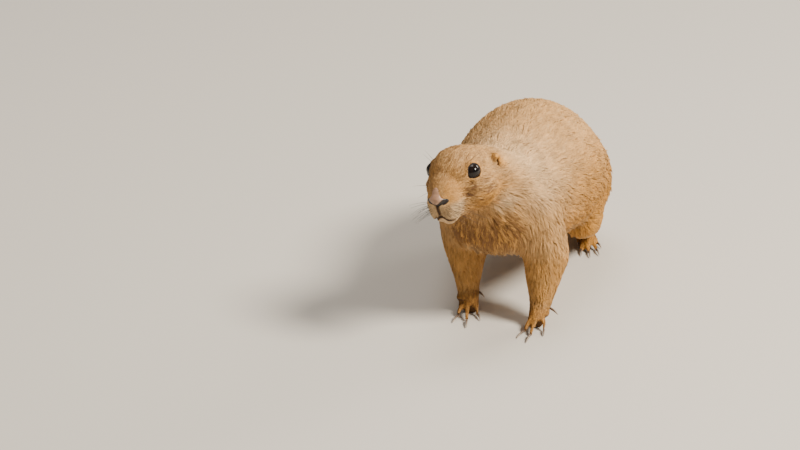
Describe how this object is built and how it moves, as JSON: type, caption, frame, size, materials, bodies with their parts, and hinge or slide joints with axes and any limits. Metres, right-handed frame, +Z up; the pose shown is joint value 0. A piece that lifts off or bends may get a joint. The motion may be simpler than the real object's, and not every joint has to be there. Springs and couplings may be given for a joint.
{
  "type": "prairie dog",
  "caption": "Life-size still model of a black-tailed prairie dog standing on all fours with its head turned, stout body, short legs and dark-tipped tail.",
  "frame": {"origin": "on the floor, under the middle of the model's plan outline", "axes": "+Z up; the animal faces -Y and its tail lies towards +Y; +X is its left side"},
  "size_m": [0.1112, 0.3712, 0.1464],
  "materials": {
    "eye": "wet gloss, near black with a dark brown iris",
    "nose": "bare pinkish brown skin, dark nostrils",
    "claw": "satin horn, dark brown",
    "coat_black": "fur, near black",
    "coat_back": "short dense fur, pale sandy buff flecked with dark and pale hair tips",
    "coat_face": "very short fur, golden tan with brown streaks on the cheek",
    "coat_gold": "short fur, golden tan"
  },
  "bodies": {
    "root": {"claw_forepaw_left_fifth": "claw", "claw_forepaw_left_first": "claw", "claw_forepaw_left_fourth": "claw", "claw_forepaw_left_second": "claw", "claw_forepaw_left_third": "claw", "claw_forepaw_right_fifth": "claw", "claw_forepaw_right_first": "claw", "claw_forepaw_right_fourth": "claw", "claw_forepaw_right_second": "claw", "claw_forepaw_right_third": "claw", "claw_hind_foot_left_fifth": "claw", "claw_hind_foot_left_first": "claw", "claw_hind_foot_left_fourth": "claw", "claw_hind_foot_left_second": "claw", "claw_hind_foot_left_third": "claw", "claw_hind_foot_right_fifth": "claw", "claw_hind_foot_right_first": "claw", "claw_hind_foot_right_fourth": "claw", "claw_hind_foot_right_second": "claw", "claw_hind_foot_right_third": "claw", "ear_left": "coat_face", "ear_right": "coat_face", "eye_left": "eye", "eye_right": "eye", "forearm_left": "coat_gold", "forearm_right": "coat_gold", "forepaw_left": "coat_gold", "forepaw_right": "coat_gold", "head": "coat_face", "hind_foot_left": "coat_gold", "hind_foot_right": "coat_gold", "neck": "coat_back", "nose": "nose", "shank_left": "coat_gold", "shank_right": "coat_gold", "tail": "coat_gold", "tail_tip": "coat_black", "thigh_left": "coat_gold", "thigh_right": "coat_gold", "trunk": "coat_back", "upper_arm_left": "coat_gold", "upper_arm_right": "coat_gold"}
  },
  "joints": []
}
